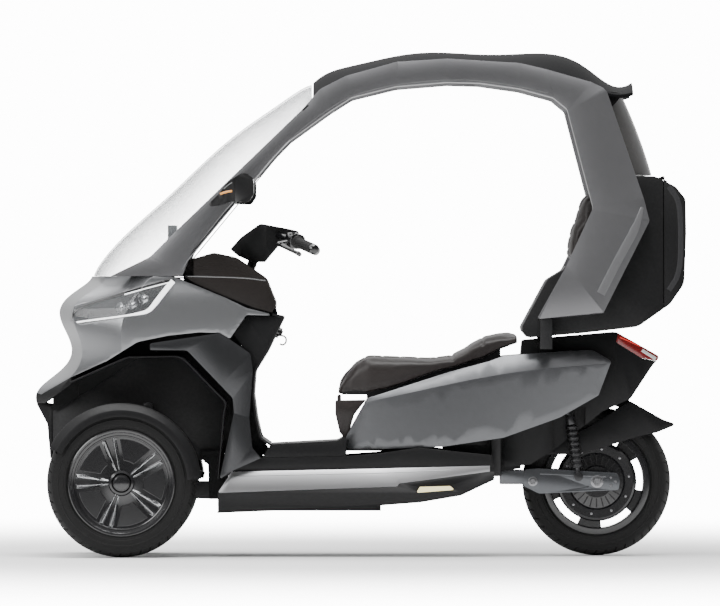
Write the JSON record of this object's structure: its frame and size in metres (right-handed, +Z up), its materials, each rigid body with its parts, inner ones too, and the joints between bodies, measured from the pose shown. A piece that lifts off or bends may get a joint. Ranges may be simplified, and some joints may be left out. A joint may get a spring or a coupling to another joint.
{
  "type": "roofed three-wheel electric motorcycle",
  "caption": "Roofed electric motorcycle with two steered front wheels and a driven rear wheel, a windscreen, an opening seat and a rear luggage case.",
  "frame": {"origin": "Centre of the bounding box's footprint, on the floor", "axes": "+X points to the rear of the vehicle, +Y to the rider's right, +Z up"},
  "size_m": [2.176, 0.84, 1.6897],
  "materials": {
    "silver_paint": "satin metallic",
    "grey_paint": "satin metallic",
    "bright_silver": "satin metallic",
    "dark_plastic": "fine grained",
    "soft_dash": "grained",
    "gloss_black": "gloss",
    "chassis_steel": "satin powder coat",
    "spring_steel": "satin",
    "swingarm_aluminium": "satin",
    "knuckle_aluminium": "cast",
    "wheel_black": "gloss with bright spokes",
    "tyre": null,
    "grip_rubber": null,
    "seat_leather": "grained",
    "clear_glass": "clear",
    "tinted_glass": "tinted",
    "lamp_lens": "clear",
    "red_lens": "gloss",
    "yellow_lens": "gloss"
  },
  "bodies": {
    "chassis": {"arch_liners": "dark_plastic", "backrest": "seat_leather", "battery_pack": "dark_plastic", "belly_pan": "dark_plastic", "chin": "dark_plastic", "cowl_shelf": "dark_plastic", "dark_sills": "dark_plastic", "dashboard": "soft_dash", "display": "gloss_black", "floor_board": "dark_plastic", "front_core": "chassis_steel", "front_fairing": "silver_paint", "front_shocks": "spring_steel", "front_side_panels": "grey_paint", "head_tube": "chassis_steel", "headlights": "lamp_lens", "lamp_buckets": "dark_plastic", "leg_shield": "dark_plastic", "main_frame": "chassis_steel", "mirrors": "dark_plastic", "nose_beak": "dark_plastic", "panel_brackets": "chassis_steel", "rear_fender": "dark_plastic", "rear_shocks": "spring_steel", "rear_side_panels": "silver_paint", "rear_window": "tinted_glass", "roof_frames": "silver_paint", "roof_panel": "dark_plastic", "seat_apron": "seat_leather", "side_lamps": "yellow_lens", "silver_sills": "bright_silver", "skirts": "dark_plastic", "storage_tub": "dark_plastic", "swingarm": "swingarm_aluminium", "tail_body": "dark_plastic", "tail_light": "red_lens", "trunk_case": "dark_plastic", "windscreen": "clear_glass", "wishbones": "chassis_steel"},
    "steering": {"steering_column": "chassis_steel", "handlebar": "gloss_black", "handlebar_cover": "dark_plastic", "grips": "grip_rubber", "switchgear": "gloss_black"},
    "tie_rod_left": {"tie_rod_left": "chassis_steel"},
    "tie_rod_right": {"tie_rod_right": "chassis_steel"},
    "knuckle_left": {"knuckle_left": "knuckle_aluminium", "front_fender_left": "dark_plastic"},
    "knuckle_right": {"knuckle_right": "knuckle_aluminium", "front_fender_right": "dark_plastic"},
    "front_wheel_left": {"front_wheel_left": "wheel_black", "front_tyre_left": "tyre"},
    "front_wheel_right": {"front_wheel_right": "wheel_black", "front_tyre_right": "tyre"},
    "rear_wheel": {"rear_wheel": "wheel_black", "rear_tyre": "tyre"},
    "seat": {"seat": "seat_leather"},
    "trunk_door": {"trunk_door": "dark_plastic"}
  },
  "joints": [
    {"name": "steering_turn", "type": "hinge", "parent": "chassis", "child": "steering", "pos_m": [-0.325, 0, 1.083], "axis": [0.342, 0, 0.9397], "range_deg": [-30, 30]},
    {"name": "knuckle_left_turn", "type": "hinge", "parent": "chassis", "child": "knuckle_left", "pos_m": [-0.794, -0.19, 0.249], "axis": [0.342, 0, 0.9397], "range_deg": [-30, 30]},
    {"name": "knuckle_right_turn", "type": "hinge", "parent": "chassis", "child": "knuckle_right", "pos_m": [-0.794, 0.19, 0.249], "axis": [0.342, 0, 0.9397], "range_deg": [-30, 30]},
    {"name": "tie_rod_left_turn", "type": "hinge", "parent": "steering", "child": "tie_rod_left", "pos_m": [-0.53285, -0.016, 0.27802], "axis": [0.342, 0, 0.9397], "range_deg": [-30, 30]},
    {"name": "tie_rod_right_turn", "type": "hinge", "parent": "steering", "child": "tie_rod_right", "pos_m": [-0.53285, 0.016, 0.27802], "axis": [0.342, 0, 0.9397], "range_deg": [-30, 30]},
    {"name": "front_wheel_left_spin", "type": "hinge", "parent": "knuckle_left", "child": "front_wheel_left", "pos_m": [-0.794, -0.28, 0.249], "axis": [0, 1, 0], "continuous": true},
    {"name": "front_wheel_right_spin", "type": "hinge", "parent": "knuckle_right", "child": "front_wheel_right", "pos_m": [-0.794, 0.28, 0.249], "axis": [0, 1, 0], "continuous": true},
    {"name": "rear_wheel_spin", "type": "hinge", "parent": "chassis", "child": "rear_wheel", "pos_m": [0.794, 0, 0.249], "axis": [0, 1, 0], "continuous": true},
    {"name": "seat_lift", "type": "hinge", "parent": "chassis", "child": "seat", "pos_m": [-0.07, 0, 0.533], "axis": [0, -1, 0], "range_deg": [0, 60]},
    {"name": "trunk_door_lift", "type": "hinge", "parent": "chassis", "child": "trunk_door", "pos_m": [1.013, 0, 1.266], "axis": [0, -1, 0], "range_deg": [0, 75]}
  ],
  "couplings": [
    {"joint": "knuckle_left_turn", "follows": "steering_turn", "ratio": 1},
    {"joint": "knuckle_right_turn", "follows": "steering_turn", "ratio": 1},
    {"joint": "tie_rod_left_turn", "follows": "steering_turn", "ratio": -1},
    {"joint": "tie_rod_right_turn", "follows": "steering_turn", "ratio": -1}
  ]
}
